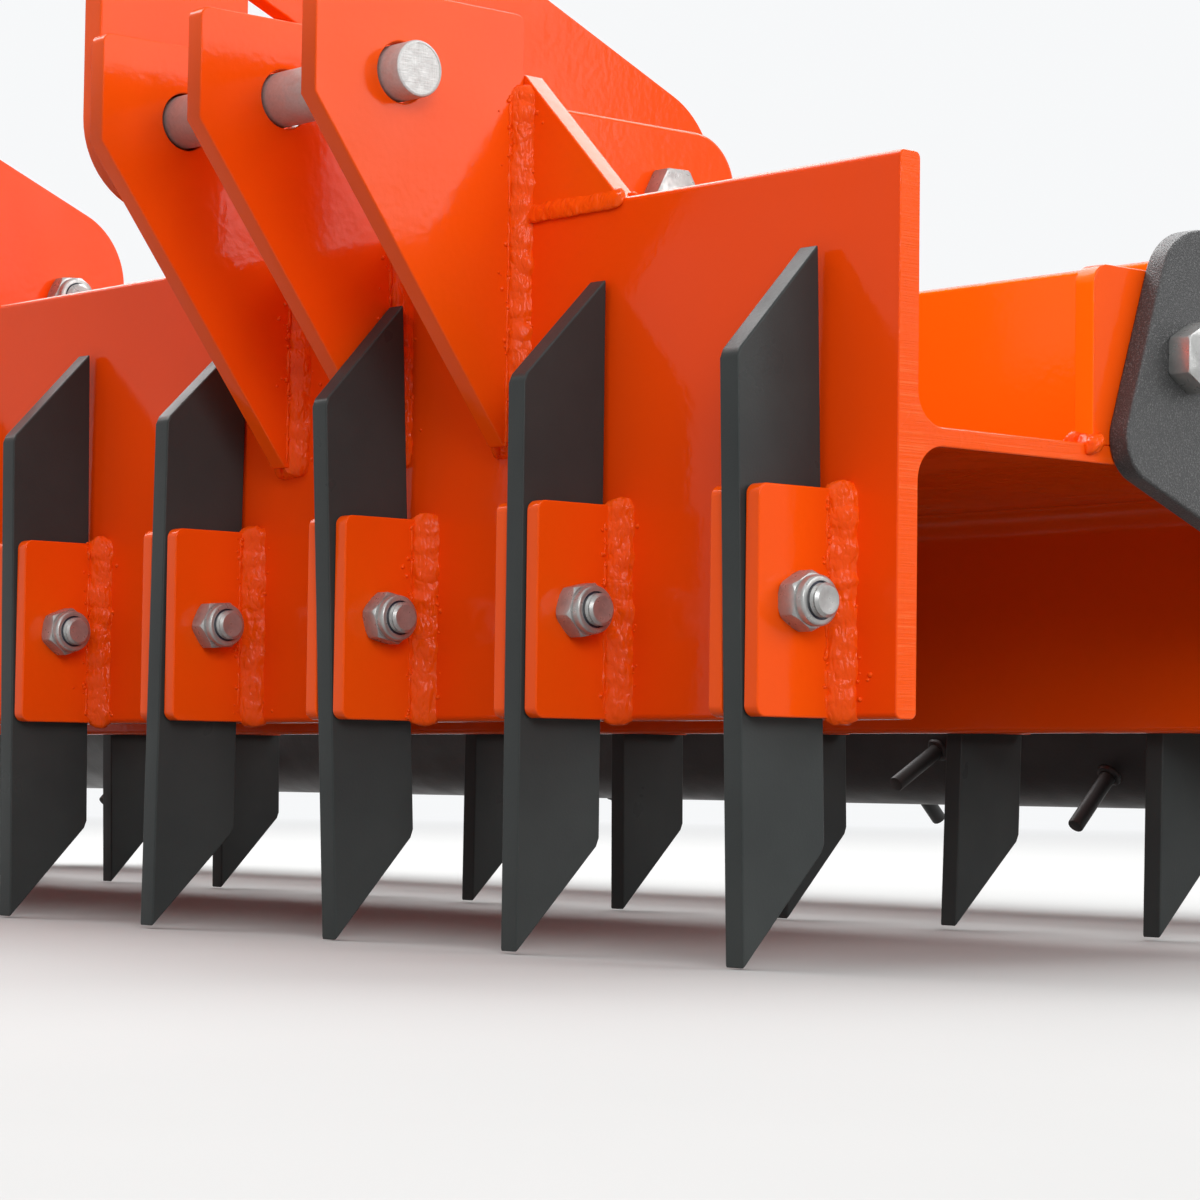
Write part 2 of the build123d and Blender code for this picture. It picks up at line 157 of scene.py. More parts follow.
orange = {
    "tone": (0.93, 0.092, 0.0030),
    "deepTone": (0.89, 0.080, 0.0022),
    # painted highlight: the paler tone of the saw streaks on the sawn ends
    "sawTone": (0.97, 0.19, 0.05),
    "thickTone": (0.95, 0.19, 0.0040),  # painted light: brighter and yellower on front-turned faces in the beam's channel and on the lugs' front edges
    "frontTone": (0.93, 0.070, 0.0024),  # painted shade: redder and darker on the beam's broad front, standing in for less light and a darker reflection there
    "sheen": 0.13,
    "peelScale": 280,  # orange peel, about 3 mm across
    "peelRaise": 0.16,
    "rough": 0.12,
}


def orangePaint(name, sawn=False, welded=False, paintedLightBehind=None):
    finish, tree, shader, place = startFinish(name)
    clouds = spread(tree, noiseOn(tree, place, 9, 2), 0.35, 0.65)
    tone = blendTones(tree, clouds, orange["tone"], orange["deepTone"])
    if paintedLightBehind is not None:  # painted light and shade on faces turned to the front: behind this Y and above the web a brighter, yellower tone; in front of it a redder, darker one
        parts = tree.nodes.new("ShaderNodeSeparateXYZ")
        tree.links.new(place, parts.inputs[0])
        behind = spread(tree, parts.outputs[1], paintedLightBehind, paintedLightBehind + 0.01)
        above = spread(tree, parts.outputs[2], beamLow.z + 0.09, beamLow.z + 0.11)
        # painted shade: the darker front tone, on front-turned faces ahead of that Y
        frontShade = combine(tree, "MULTIPLY", combine(tree, "SUBTRACT", 1, behind), facing(tree, 1, -1))
        tone = blendTones(tree, spread(tree, frontShade, 0.6, 0.9), tone, orange["frontTone"])
        # painted light: the brighter channel tone, on front-turned faces behind that Y and above the web
        thick = combine(tree, "MULTIPLY", combine(tree, "MULTIPLY", behind, above), facing(tree, 1, -1))
        tone = blendTones(tree, spread(tree, thick, 0.6, 0.9), tone, orange["thickTone"])
    peel = noiseOn(tree, place, orange["peelScale"], 2, 0.4)
    waves = noiseOn(tree, place, 60, 1)
    surface = combine(tree, "ADD", peel, combine(tree, "MULTIPLY", waves, 0.8))
    rough = spread(tree, noiseOn(tree, place, 30, 3), 0.3, 0.7, orange["rough"] - 0.04, orange["rough"] + 0.06)
    under = raiseBumps(tree, shader, surface, orange["peelRaise"], 0.0006)
    if sawn:  # saw marks on the ends, filled by the paint: their relief is a bump, their paler streaks a painted highlight
        onEnd = spread(tree, facing(tree, 0), 0.9, 0.98)
        marks = noiseOn(tree, stretched(tree, place, (1, 26, 1500), (0.6, 0, 0)), 1, 4, 0.6)
        patches = spread(tree, noiseOn(tree, place, 45, 3), 0.42, 0.62, 0.15, 1.0)
        sharp = combine(tree, "MULTIPLY", spread(tree, marks, 0.50, 0.66), patches)
        sawHighlight = combine(tree, "MULTIPLY", onEnd, sharp)
        tone = blendTones(tree, combine(tree, "MULTIPLY", sawHighlight, 0.6), tone, orange["sawTone"])
        under = raiseBumps(tree, shader, combine(tree, "MULTIPLY", onEnd, marks), 0.4, 0.0005, under)
        rough = combine(tree, "ADD", rough, combine(tree, "MULTIPLY", onEnd, 0.16))
    if welded:  # flow marks drawn out along the beads
        flow = noiseOn(tree, stretched(tree, place, (300, 300, 150)), 1, 1.5, 0.5)
        folds = combine(tree, "ABSOLUTE", combine(tree, "SUBTRACT", flow, 0.5), 0)
        under = raiseBumps(tree, shader, folds, 0.6, 0.0026, under)
        grain = noiseOn(tree, place, 900, 2)
        under = raiseBumps(tree, shader, grain, 0.12, 0.0004, under)
        rough = combine(tree, "ADD", rough, 0.04)
    shader.inputs["Specular IOR Level"].default_value = orange["sheen"]
    tree.links.new(tone, shader.inputs["Base Color"])
    tree.links.new(rough, shader.inputs["Roughness"])
    return finish


def satinSteel(name, tone, pale, grain, grainRaise, rough, speck=0.0, sheen=0.5):
    finish, tree, shader, place = startFinish(name)
    clouds = spread(tree, noiseOn(tree, place, 14, 4, 0.6), 0.3, 0.7)
    mixed = blendTones(tree, clouds, tone, pale)
    grains = noiseOn(tree, place, grain, 3, 0.6)
    if speck:
        dots = spread(tree, grains, 0.52, 0.70, 0.0, speck)
        mixed = blendTones(tree, dots, mixed, (0.22, 0.22, 0.22))
    raiseBumps(tree, shader, grains, grainRaise, 0.0004)
    shader.inputs["Specular IOR Level"].default_value = sheen
    dullness = spread(tree, noiseOn(tree, place, 40, 4), 0.3, 0.7, rough - 0.07, rough + 0.07)
    tree.links.new(mixed, shader.inputs["Base Color"])
    tree.links.new(dullness, shader.inputs["Roughness"])
    return finish


def brightMetal(name, tone, dull, rough, metal, cloudScale=160, lines=False):
    finish, tree, shader, place = startFinish(name)
    clouds = spread(tree, noiseOn(tree, place, cloudScale, 4, 0.65), 0.35, 0.7)
    tree.links.new(blendTones(tree, clouds, tone, dull), shader.inputs["Base Color"])
    shader.inputs["Metallic"].default_value = metal
    marks = noiseOn(tree, place, 700, 3)
    if lines:
        onEnd = spread(tree, facing(tree, 0), 0.8, 0.95)
        around = noiseOn(tree, stretched(tree, place, (2600, 40, 40)), 1, 3)
        across = noiseOn(tree, stretched(tree, place, (40, 130, 1900), (12, 0, 0)), 1, 3)
        weave = noiseOn(tree, stretched(tree, place, (40, 1700, 160), (-8, 0, 0)), 1, 3)
        face = combine(tree, "ADD", across, combine(tree, "MULTIPLY", weave, 0.7))
        side = combine(tree, "MULTIPLY", around, combine(tree, "SUBTRACT", 1, onEnd))
        marks = combine(tree, "ADD", combine(tree, "MULTIPLY", face, onEnd), side)
    raiseBumps(tree, shader, marks, 0.35 if lines else 0.12, 0.0003)
    dullness = spread(tree, noiseOn(tree, place, 320, 4), 0.3, 0.7, rough - 0.08, rough + 0.1)
    tree.links.new(dullness, shader.inputs["Roughness"])
    return finish


def nylonRing():
    finish, tree, shader, place = startFinish("nylon")
    tone = blendTones(tree, noiseOn(tree, place, 300), (0.03, 0.04, 0.07), (0.05, 0.06, 0.1))
    tree.links.new(tone, shader.inputs["Base Color"])
    raiseBumps(tree, shader, noiseOn(tree, place, 900), 0.1, 0.0002)
    shader.inputs["Roughness"].default_value = 0.45
    return finish


looks = {
    "beamPaint": orangePaint("beamPaint", sawn=True, paintedLightBehind=beamLow.y + 0.13),
    "lugPaint": orangePaint("lugPaint", paintedLightBehind=beamLow.y),
    "orangePaint": orangePaint("orangePaint"),
    "weldPaint": orangePaint("weldPaint", welded=True),
    "toothCoat": satinSteel(
        "toothCoat", (0.036, 0.040, 0.040), (0.048, 0.053, 0.052), 850, 0.14, 0.34, sheen=0.12
    ),
    "armCoat": satinSteel(
        "armCoat", (0.040, 0.040, 0.041), (0.052, 0.052, 0.053), 1500, 1.0, 0.38, speck=0.6, sheen=0.35
    ),
    "rollerCoat": satinSteel(
        "rollerCoat", (0.010, 0.010, 0.011), (0.018, 0.017, 0.016), 500, 0.25, 0.45, sheen=0.3
    ),
    "casting": satinSteel("casting", (0.026, 0.027, 0.029), (0.040, 0.041, 0.043), 420, 0.6, 0.5, sheen=0.4),
    "zincPlate": brightMetal("zincPlate", (0.42, 0.42, 0.41), (0.29, 0.29, 0.285), 0.32, 0.55),
    "turnedSteel": brightMetal(
        "turnedSteel", (0.49, 0.49, 0.48), (0.41, 0.41, 0.40), 0.42, 0.45, 700, lines=True
    ),
    "nylon": nylonRing(),
}
print("finishes mixed:", len(looks))


# Hand tools shared by the pieces

def pickOnly(piece):
    bpy.ops.object.select_all(action="DESELECT")
    piece.select_set(True)
    bpy.context.view_layer.objects.active = piece


def editWith(piece, kind="FACE"):
    pickOnly(piece)
    bpy.ops.object.mode_set(mode="EDIT")
    bpy.ops.mesh.select_mode(type=kind)
    bpy.ops.mesh.select_all(action="DESELECT")
    return bmesh.from_edit_mesh(piece.data)


def selectFaces(piece, wanted):
    mesh = bmesh.from_edit_mesh(piece.data)
    bpy.ops.mesh.select_all(action="DESELECT")
    for face in mesh.faces:
        face.select_set(wanted(face.calc_center_median(), face.normal))
    bmesh.update_edit_mesh(piece.data)


def selectEdges(piece, wanted):
    mesh = bmesh.from_edit_mesh(piece.data)
    bpy.ops.mesh.select_all(action="DESELECT")
    for edge in mesh.edges:
        edge.select_set(wanted(edge.verts[0].co, edge.verts[1].co))
    bmesh.update_edit_mesh(piece.data)


def leaveEdit():
    bpy.ops.object.mode_set(mode="OBJECT")


def addModifier(piece, kind, **settings):
    modifier = piece.modifiers.new(kind.lower(), kind)
    for name, value in settings.items():
        setattr(modifier, name, value)
    return modifier


def applyAll(piece):
    pickOnly(piece)
    for modifier in list(piece.modifiers):
        bpy.ops.object.modifier_apply(modifier=modifier.name)


def settlePlace(piece):
    pickOnly(piece)
    bpy.ops.object.transform_apply(location=True, rotation=True, scale=True)


def joinPieces(pieces, name):
    bpy.ops.object.select_all(action="DESELECT")
    for piece in pieces:
        piece.select_set(True)
    bpy.context.view_layer.objects.active = pieces[0]
    if len(pieces) > 1:
        bpy.ops.object.join()
    pieces[0].name = name
    return pieces[0]


def copyTo(piece, place, turn=None):
    twin = bpy.data.objects.new(piece.name, piece.data.copy())
    bpy.context.collection.objects.link(twin)
    matrix = Matrix.Translation(place) @ (turn or Matrix.Identity(4))
    twin.data.transform(matrix)
    return twin


def throwAway(piece):
    bpy.data.objects.remove(piece)


def finishPiece(piece, look, body, replaced=()):
    if look:
        piece.data.materials.clear()
        piece.data.materials.append(looks[look])
    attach(piece, body)
    if replaced:
        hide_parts(*replaced)


# Plates, bars and teeth: every sharp arris eased

easing = {  # node name start: (look, slot, easing in metres)
    "main_beam": ("beamPaint", "orange_paint", 0.0007),
    "front_tooth_plates": ("orangePaint", "orange_paint", 0.0007),
    "rear_tooth_plates": ("orangePaint", "orange_paint", 0.0007),
    "front_tooth_": ("toothCoat", "tooth_steel", 0.0008),
    "rear_tooth_": ("toothCoat", "tooth_steel", 0.0008),
    "hitch_lug_": ("orangePaint", "orange_paint", 0.0007),
    "hitch_gusset_": ("orangePaint", "orange_paint", 0.0006),
    "mast_leg_": ("orangePaint", "orange_paint", 0.0010),
    "mast_tie": ("orangePaint", "orange_paint", 0.0008),
    "rear_bracket_": ("orangePaint", "orange_paint", 0.0024),
    "mast_brace_": ("orangePaint", "orange_paint", 0.0008),
    "end_lug_": ("lugPaint", "orange_paint", 0.0007),
    "roller_arm_": ("armCoat", "arm_paint", 0.0012),
}
cleaning = {"mergeWithin": 0.00001, "flatWithin": radians(0.6), "sharpOver": radians(40)}
beamTips = {  # rolled flange tips, rounder than in the CAD
    "thick": 0.0105, "cadRound": 0.0016, "round": 0.0026,
}


def roundTips(piece):
    walls = (beamLow.y, beamLow.y + beamTips["thick"], beamHigh.y - beamTips["thick"], beamHigh.y)
    mesh = editWith(piece, "EDGE")
    for vert in mesh.verts:
        for y in walls:
            for z in (beamLow.z, beamHigh.z):
                if max(abs(vert.co.y - y), abs(vert.co.z - z)) < beamTips["cadRound"]:
                    vert.co.y, vert.co.z = y, z
    bmesh.update_edit_mesh(piece.data)
    bpy.ops.mesh.select_all(action="SELECT")
    bpy.ops.mesh.remove_doubles(threshold=cleaning["mergeWithin"])
    bpy.ops.mesh.dissolve_limited(angle_limit=cleaning["flatWithin"])
    tips = (beamLow.z, beamHigh.z)
    selectEdges(piece, lambda a, b: abs(a.x - b.x) > 1 and min(abs(a.z - z) for z in tips) < 0.0001)
    bpy.ops.mesh.bevel(offset=beamTips["round"], segments=4)
    leaveEdit()


def easedCopy(nodeName, width):
    source = nodes[nodeName]
    piece = bpy.data.objects.new("eased_" + nodeName, source.data.copy())
    bpy.context.collection.objects.link(piece)
    editWith(piece)
    bpy.ops.mesh.select_all(action="SELECT")
    bpy.ops.mesh.remove_doubles(threshold=cleaning["mergeWithin"])
    bpy.ops.mesh.dissolve_limited(angle_limit=cleaning["flatWithin"])
    bpy.ops.mesh.faces_shade_smooth()
    leaveEdit()
    if nodeName == "main_beam":
        roundTips(piece)
    addModifier(
        piece, "BEVEL", width=width, segments=2, limit_method="ANGLE", angle_limit=cleaning["sharpOver"],
        use_clamp_overlap=False, loop_slide=False,
    )
    addModifier(piece, "WEIGHTED_NORMAL", keep_sharp=False, weight=80)
    applyAll(piece)
    return piece


for nodeName in nodes:
    if nodeName.endswith("_bolts"):
        continue
    start = next((key for key in easing if nodeName.startswith(key)), None)
    if start:
        look, slot, width = easing[start]
        finishPiece(easedCopy(nodeName, width), look, "frame", [nodeName])
print("plates, bars and teeth eased")


# Weld beads: a rounded rod for each length, copied along its joints and made lumpy

bead = {
    "sides": 26,
    "rimSides": 12,
    "stepAlong": 0.0012,
    "lumps": (("bigLumps", 0.0070, 0.0022), ("midLumps", 0.0032, 0.0019), ("fineLumps", 0.0015, 0.0006)),
    "capDepth": 0.8,  # share of a half ball at a bead's ends
    "lobe": (0.0065, 0.0095),  # half length of the lobes, least and most
    "lobeWide": (0.86, 1.06),  # shares of the bead's own width and height
    "lobeHigh": (1.0, 1.22),
    "lobeTilt": 16,  # degrees to either side
    "lobeDrift": 0.0009,
    "lobeStep": 0.0105,
    "lobeGap": (0.8, 1.2),  # shares of that step
    "rim": 0.0011,  # thin line of paint along a bead's edge
    "rimOut": 0.36,  # share of the bead's width
    "rimUp": 0.0025,
}


def lumpTexture(name, size):
    texture = bpy.data.textures.new(name, "CLOUDS")
    texture.noise_scale = size
    texture.noise_depth = 1
    return texture


lumpTextures = [(lumpTexture(name, size), strength) for name, size, strength in bead["lumps"]]
bpy.ops.object.empty_add(scale=(1, 1, 2))  # draws the lumps out along upright beads
upright = bpy.context.object
upright.name = "uprightLumps"


def makeRod(length, wide, high, sides):
    bpy.ops.mesh.primitive_uv_sphere_add(segments=sides, ring_count=8, radius=wide / 2)
    rod = bpy.context.object
    rod.scale = (1, high / wide, bead["capDepth"])
    settlePlace(rod)
    mesh = editWith(rod, "VERT")
    for vert in mesh.verts:
        vert.select_set(vert.co.z > wide * 0.01)
    bmesh.update_edit_mesh(rod.data)
    bpy.ops.transform.translate(value=(0, 0, length))
    bpy.ops.mesh.select_mode(type="EDGE")
    selectEdges(rod, lambda a, b: abs(a.z - b.z) > length * 0.9)
    bpy.ops.mesh.subdivide(number_cuts=max(2, int(length / bead["stepAlong"])))
    leaveEdit()
    return rod


def makeLumpy(piece, share=1.0, guide=None):
    places = {"texture_coords": "LOCAL"}
    if guide:
        places = {"texture_coords": "OBJECT", "texture_coords_object": guide}
    for texture, strength in lumpTextures:
        addModifier(piece, "DISPLACE", texture=texture, strength=strength * share, mid_level=0.5, **places)
    applyAll(piece)
    editWith(piece)
    bpy.ops.mesh.select_all(action="SELECT")
    bpy.ops.mesh.normals_make_consistent(inside=False)
    bpy.ops.mesh.faces_shade_smooth()
    leaveEdit()


def layLobes(start, along, across, toward, length, wide, high):
    lobes = []
    reached = bead["lobeStep"] * 0.3
    while reached < length:
        bpy.ops.mesh.primitive_uv_sphere_add(segments=20, ring_count=12, radius=1)
        lobe = bpy.context.object
        lobe.scale = (
            wide / 2 * random.uniform(*bead["lobeWide"]),
            high / 2 * random.uniform(*bead["lobeHigh"]),
            random.uniform(*bead["lobe"]),
        )
        settlePlace(lobe)
        turn = Matrix((across, toward, along)).transposed().to_4x4()
        tilt = Matrix.Rotation(radians(random.uniform(-bead["lobeTilt"], bead["lobeTilt"])), 4, "Y")
        drift = random.uniform(-bead["lobeDrift"], bead["lobeDrift"])
        place = start + along * reached + across * drift
        lobes.append(copyTo(lobe, place, turn @ tilt))
        throwAway(lobe)
        reached += bead["lobeStep"] * random.uniform(*bead["lobeGap"])
    return lobes


# Each run: start, end, open direction, width, height
def layBeads(name, runs, share=1.0, guide=None, lobed=False):
    rods = {}
    beads = []
    for start, end, toward, wide, high in runs:
        start, end = Vector(start), Vector(end)
        length = round((end - start).length, 4)
        along = (end - start).normalized()
        toward = Vector(toward)
        toward = (toward - along * toward.dot(along)).normalized()
        across = toward.cross(along)
        if (length, wide, high) not in rods:
            rods[length, wide, high] = makeRod(length, wide, high, bead["sides"])
        turn = Matrix((across, toward, along)).transposed().to_4x4()
        beads.append(copyTo(rods[length, wide, high], start, turn))
        if lobed:
            beads += layLobes(start, along, across, toward, length, wide, high)
            if ("rim", length) not in rods:
                rods["rim", length] = makeRod(length, bead["rim"], bead["rim"], bead["rimSides"])
            rim = across * bead["rimOut"] * wide  # on the plate, away from the beam's face
            if rim.y * toward.y < 0:
                rim = -rim
            beads.append(copyTo(rods["rim", length], start + rim + toward * bead["rimUp"], turn))
    for rod in rods.values():
        throwAway(rod)
    piece = joinPieces(beads, name)
    makeLumpy(piece, share, guide)
    finishPiece(piece, "weldPaint", "frame")
    return piece


def toothPlaces(row):
    return sorted(
        (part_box(name)[0].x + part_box(name)[1].x) / 2
        for name in nodes
        if name.startswith(row + "_tooth_") and name[-1].isdigit()
    )


random.seed(7)
spatterDots = []  # place and radius
spatter = {
    "reach": (0.85, 1.25),  # shares of the distance across
    "strayShare": 0.15,
    "stray": (0.001, 0.006),
    "radii": (0.0005, 0.0007, 0.0010),
}


def spatterAlong(start, end, across, count):
    for number in range(count):
        share = random.random()
        place = Vector(start).lerp(Vector(end), share) + Vector(across) * random.uniform(*spatter["reach"])
        if random.random() < spatter["strayShare"]:
            place += Vector(across).normalized() * random.uniform(*spatter["stray"])
        spatterDots.append((place, random.choice(spatter["radii"])))


plateWeld = {
    "wide": 0.0160, "high": 0.0058, "in": 0.0022, "over": -0.0034, "sway": 0.0004,
    "dots": 22, "edge": 0.0080, "lumps": 0.9,
}

for row, face, out, under in (("front", beamLow.y, -1, -0.0042), ("rear", beamHigh.y, 1, -0.008)):
    platesLow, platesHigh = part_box(row + "_tooth_plates")
    places = toothPlaces(row)
    plateOuter = platesHigh.x - places[-1]
    runs = []
    for x in places:
        for side in (-1, 1):
            weldX = x + side * (plateOuter + plateWeld["in"])
            weldY = face + out * plateWeld["in"]
            start = (weldX, weldY, platesLow.z - under)
            sway = random.uniform(-plateWeld["sway"], plateWeld["sway"])
            end = (weldX + side * sway, weldY, platesHigh.z + plateWeld["over"])
            runs.append((start, end, (side, out, 0), plateWeld["wide"], plateWeld["high"]))
            foot = (x + side * plateOuter, face, platesLow.z)
            head = (x + side * plateOuter, face, platesHigh.z)
            spatterAlong(foot, head, (0, out * plateWeld["edge"], 0), plateWeld["dots"])
            spatterAlong(foot, head, (side * plateWeld["edge"], 0, 0), plateWeld["dots"] // 3)
    layBeads(row + "PlateWelds", runs, plateWeld["lumps"], upright, lobed=True)

lugWeld = {
    "wide": 0.0140, "high": 0.0054, "in": 0.0019, "over": -0.0020, "underTop": 0.010,
    "dots": 34, "edge": 0.0070, "lumps": 0.85,
}
toeWeld = {"wide": 0.0095, "high": 0.0060, "out": 0.001}
gussetWeld = {"wide": 0.0092, "high": 0.0032, "fromLug": 0.0085, "fromToe": 0.001, "sunk": 0.0005, "lumps": 0.5}

uprights = []
levels = []
for name in nodes:
    if name.startswith("hitch_lug_"):
        low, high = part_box(name)
        outward = 1 if low.x > 0 else -1
        for side in (-1, 1):
            top = beamHigh.z
            if name.endswith("_outer") and side == outward:
                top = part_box(name.replace("lug", "gusset").replace("_outer", ""))[1].z - lugWeld["underTop"]
            lugX = high.x if side > 0 else low.x
            weldX, weldY = lugX + side * lugWeld["in"], beamLow.y - lugWeld["in"]
            start = (weldX, weldY, low.z - lugWeld["over"])
            uprights.append((start, (weldX, weldY, top), (side, -1, 0), lugWeld["wide"], lugWeld["high"]))
            foot, head = (lugX, beamLow.y, low.z), (lugX, beamLow.y, top)
            spatterAlong(foot, head, (0, -lugWeld["edge"], 0), lugWeld["dots"])
            spatterAlong(foot, head, (side * lugWeld["edge"], 0, 0), lugWeld["dots"] // 4)
        toeStart = (low.x - toeWeld["out"], beamLow.y - toeWeld["out"], low.z)
        toeEnd = (high.x + toeWeld["out"], beamLow.y - toeWeld["out"], low.z)
        levels.append((toeStart, toeEnd, (0, -1, -1), toeWeld["wide"], toeWeld["high"]))
    if name.startswith("hitch_gusset_"):
        low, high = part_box(name)
        outward = 1 if low.x > 0 else -1
        lugX, toe = (low.x, high.x) if outward > 0 else (high.x, low.x)
        for y, toward in ((low.y, (0, -1, 0.3)), (high.y, (0, 1, 1))):
            start = (lugX + outward * gussetWeld["fromLug"], y, beamHigh.z - gussetWeld["sunk"])
            end = (toe - outward * gussetWeld["fromToe"], y, beamHigh.z - gussetWeld["sunk"])
            levels.append((start, end, toward, gussetWeld["wide"], gussetWeld["high"]))
layBeads("lugWelds", uprights, lugWeld["lumps"], upright, lobed=True)
layBeads("gussetWelds", levels, gussetWeld["lumps"])

channelWeld = {
    "wide": 0.0125, "high": 0.0065, "out": 0.0012, "in": 0.001, "fromCorner": 0.008,
    "underTop": 0.004, "lumps": 0.9,
}
tieWeld = {"wide": 0.009, "high": 0.006, "in": 0.003}

runs = []
for name in nodes:
    low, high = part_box(name)
    outward = 1 if low.x > 0 else -1
    size = (channelWeld["wide"], channelWeld["high"])
    if name.startswith("rear_bracket_") or name.startswith("end_lug_"):
        topZ = min(high.z, beamHigh.z)
        sides = (-1, 1) if name.startswith("rear_bracket_") else (-outward,)
        for side in sides:
            x = (high.x if side > 0 else low.x) + side * channelWeld["out"]
            backY, footZ = high.y - channelWeld["fromCorner"], low.z + channelWeld["fromCorner"]
            runs.append(((x, low.y, low.z), (x, backY, low.z), (side, 0, 1), *size))
            end = (x, high.y, topZ - channelWeld["underTop"])
            runs.append(((x, high.y, footZ), end, (side, -1, 0), *size))
        lowX, highX = low.x + channelWeld["in"], high.x - channelWeld["in"]
        runs.append(((lowX, low.y, low.z), (highX, low.y, low.z), (0, -1, 1), *size))
    if name == "mast_tie":
        for x, side in ((low.x, 1), (high.x, -1)):
            start, end = (x, low.y, low.z + tieWeld["in"]), (x, low.y, high.z - tieWeld["in"])
            runs.append((start, end, (side, -1, 0), tieWeld["wide"], tieWeld["high"]))
layBeads("channelWelds", runs, channelWeld["lumps"])

bpy.ops.mesh.primitive_ico_sphere_add(subdivisions=2, radius=1)
dot = bpy.context.object
dots = [copyTo(dot, place, Matrix.Scale(radius, 4)) for place, radius in spatterDots]
throwAway(dot)
specks = joinPieces(dots, "weldSpatter")
pickOnly(specks)
bpy.ops.object.shade_smooth()
finishPiece(specks, "weldPaint", "frame")
bpy.data.objects.remove(upright)
print("welds laid, spatter dots:", len(spatterDots))


# Bolts and nuts

toothFastener = {
    "flats": 0.01905, "headHigh": 0.008, "hexHigh": 0.0082, "nutHigh": 0.012,
    "collar": 0.0092, "shank": 0.00622, "stickOut": 0.0038,
}
heavyFastener = {
    "flats": 0.0238, "headHigh": 0.010, "hexHigh": 0.0095, "nutHigh": 0.0135,
    "collar": 0.0114, "shank": 0.0078, "stickOut": 0.003,
}
hexShape = {"nutChamfer": 0.055, "headChamfer": 0.022, "barrel": 0.99, "round": 0.012}  # shares of the size
collarShape = {"lap": 0.001, "round": 0.0012, "lip": 0.0020, "recess": 0.0011}
threadShape = {
    "pitch": 0.0013, "root": 0.91, "sunk": 0.0020, "tip": 0.0010, "taper": 0.82,
    "rim": 0.0008, "dish": 0.00015, "dishTaper": 0.75, "fromBase": 0.001,
}
headFace = {"share": 0.485, "thick": 0.0006}  # of the width across flats


def extrudeRing(rise, grow=1.0):
    bpy.ops.mesh.extrude_region_move(TRANSFORM_OT_translate={"value": (0, 0, rise)})
    if grow != 1.0:
        bpy.ops.transform.resize(value=(grow, grow, 1), center_override=(0, 0, 0))


def makeHex(flats, high, chamfer):
    corner = flats / 2 / cos(radians(30))
    bpy.ops.mesh.primitive_cylinder_add(vertices=6, radius=corner, depth=high, location=(0, 0, high / 2))
    hexagon = bpy.context.object
    settlePlace(hexagon)
    bpy.ops.mesh.primitive_cylinder_add(
        vertices=48, radius=corner * hexShape["barrel"], depth=high, location=(0, 0, high / 2)
    )
    barrel = bpy.context.object
    settlePlace(barrel)
    editWith(barrel, "EDGE")
    selectEdges(barrel, lambda a, b: abs(a.z - b.z) < high * 0.01)
    bpy.ops.mesh.bevel(offset=flats * chamfer, segments=1)
    leaveEdit()
    addModifier(hexagon, "BOOLEAN", object=barrel, operation="INTERSECT", solver="EXACT")
    applyAll(hexagon)
    throwAway(barrel)
    addModifier(
        hexagon, "BEVEL", width=flats * hexShape["round"], segments=2,
        limit_method="ANGLE", angle_limit=radians(35),
    )
    applyAll(hexagon)
    return hexagon


def makeNut(kind):
    hexagon = makeHex(kind["flats"], kind["hexHigh"], hexShape["nutChamfer"])
    collarHigh = kind["nutHigh"] - kind["hexHigh"] + collarShape["lap"]
    middle = kind["nutHigh"] - collarHigh / 2
    bpy.ops.mesh.primitive_cylinder_add(
        vertices=48, radius=kind["collar"], depth=collarHigh, location=(0, 0, middle)
    )
    collar = bpy.context.object
    settlePlace(collar)
    editWith(collar, "EDGE")
    selectEdges(collar, lambda a, b: min(a.z, b.z) > kind["nutHigh"] - 0.0001)
    bpy.ops.mesh.bevel(offset=collarShape["round"], segments=4)
    bpy.ops.mesh.select_mode(type="FACE")
    selectFaces(collar, lambda centre, normal: normal.z > 0.99)
    bpy.ops.mesh.inset(thickness=kind["collar"] - kind["shank"] - collarShape["lip"])
    extrudeRing(-collarShape["recess"])
    leaveEdit()
    collar.data.materials.append(looks["zincPlate"])
    collar.data.materials.append(looks["nylon"])
    for face in collar.data.polygons:
        inRecess = face.normal.z > 0.99 and face.center.z < kind["nutHigh"] - collarShape["recess"] / 2
        face.material_index = 1 if inRecess else 0
    hexagon.data.materials.append(looks["zincPlate"])
    return joinPieces([collar, hexagon], "nut")


def makeThreadEnd(kind):
    threads = max(2, int(kind["stickOut"] / threadShape["pitch"]))
    base = threadShape["fromBase"]
    bpy.ops.mesh.primitive_circle_add(
        vertices=32, radius=kind["shank"], fill_type="NGON", location=(0, 0, base)
    )
    end = bpy.context.object
    settlePlace(end)
    editWith(end)
    bpy.ops.mesh.select_all(action="SELECT")
    extrudeRing(kind["nutHigh"] - threadShape["sunk"] - base)
    step = (kind["stickOut"] + threadShape["sunk"] - threadShape["tip"]) / threads / 2
    for thread in range(threads):
        extrudeRing(step, threadShape["root"])
        extrudeRing(step, 1 / threadShape["root"])
    extrudeRing(threadShape["tip"], threadShape["taper"])
    bpy.ops.mesh.inset(thickness=threadShape["rim"])
    extrudeRing(-threadShape["dish"], threadShape["dishTaper"])
    bpy.ops.mesh.select_all(action="SELECT")
    bpy.ops.mesh.normals_make_consistent(inside=False)
    leaveEdit()
    end.data.materials.append(looks["zincPlate"])
    return end


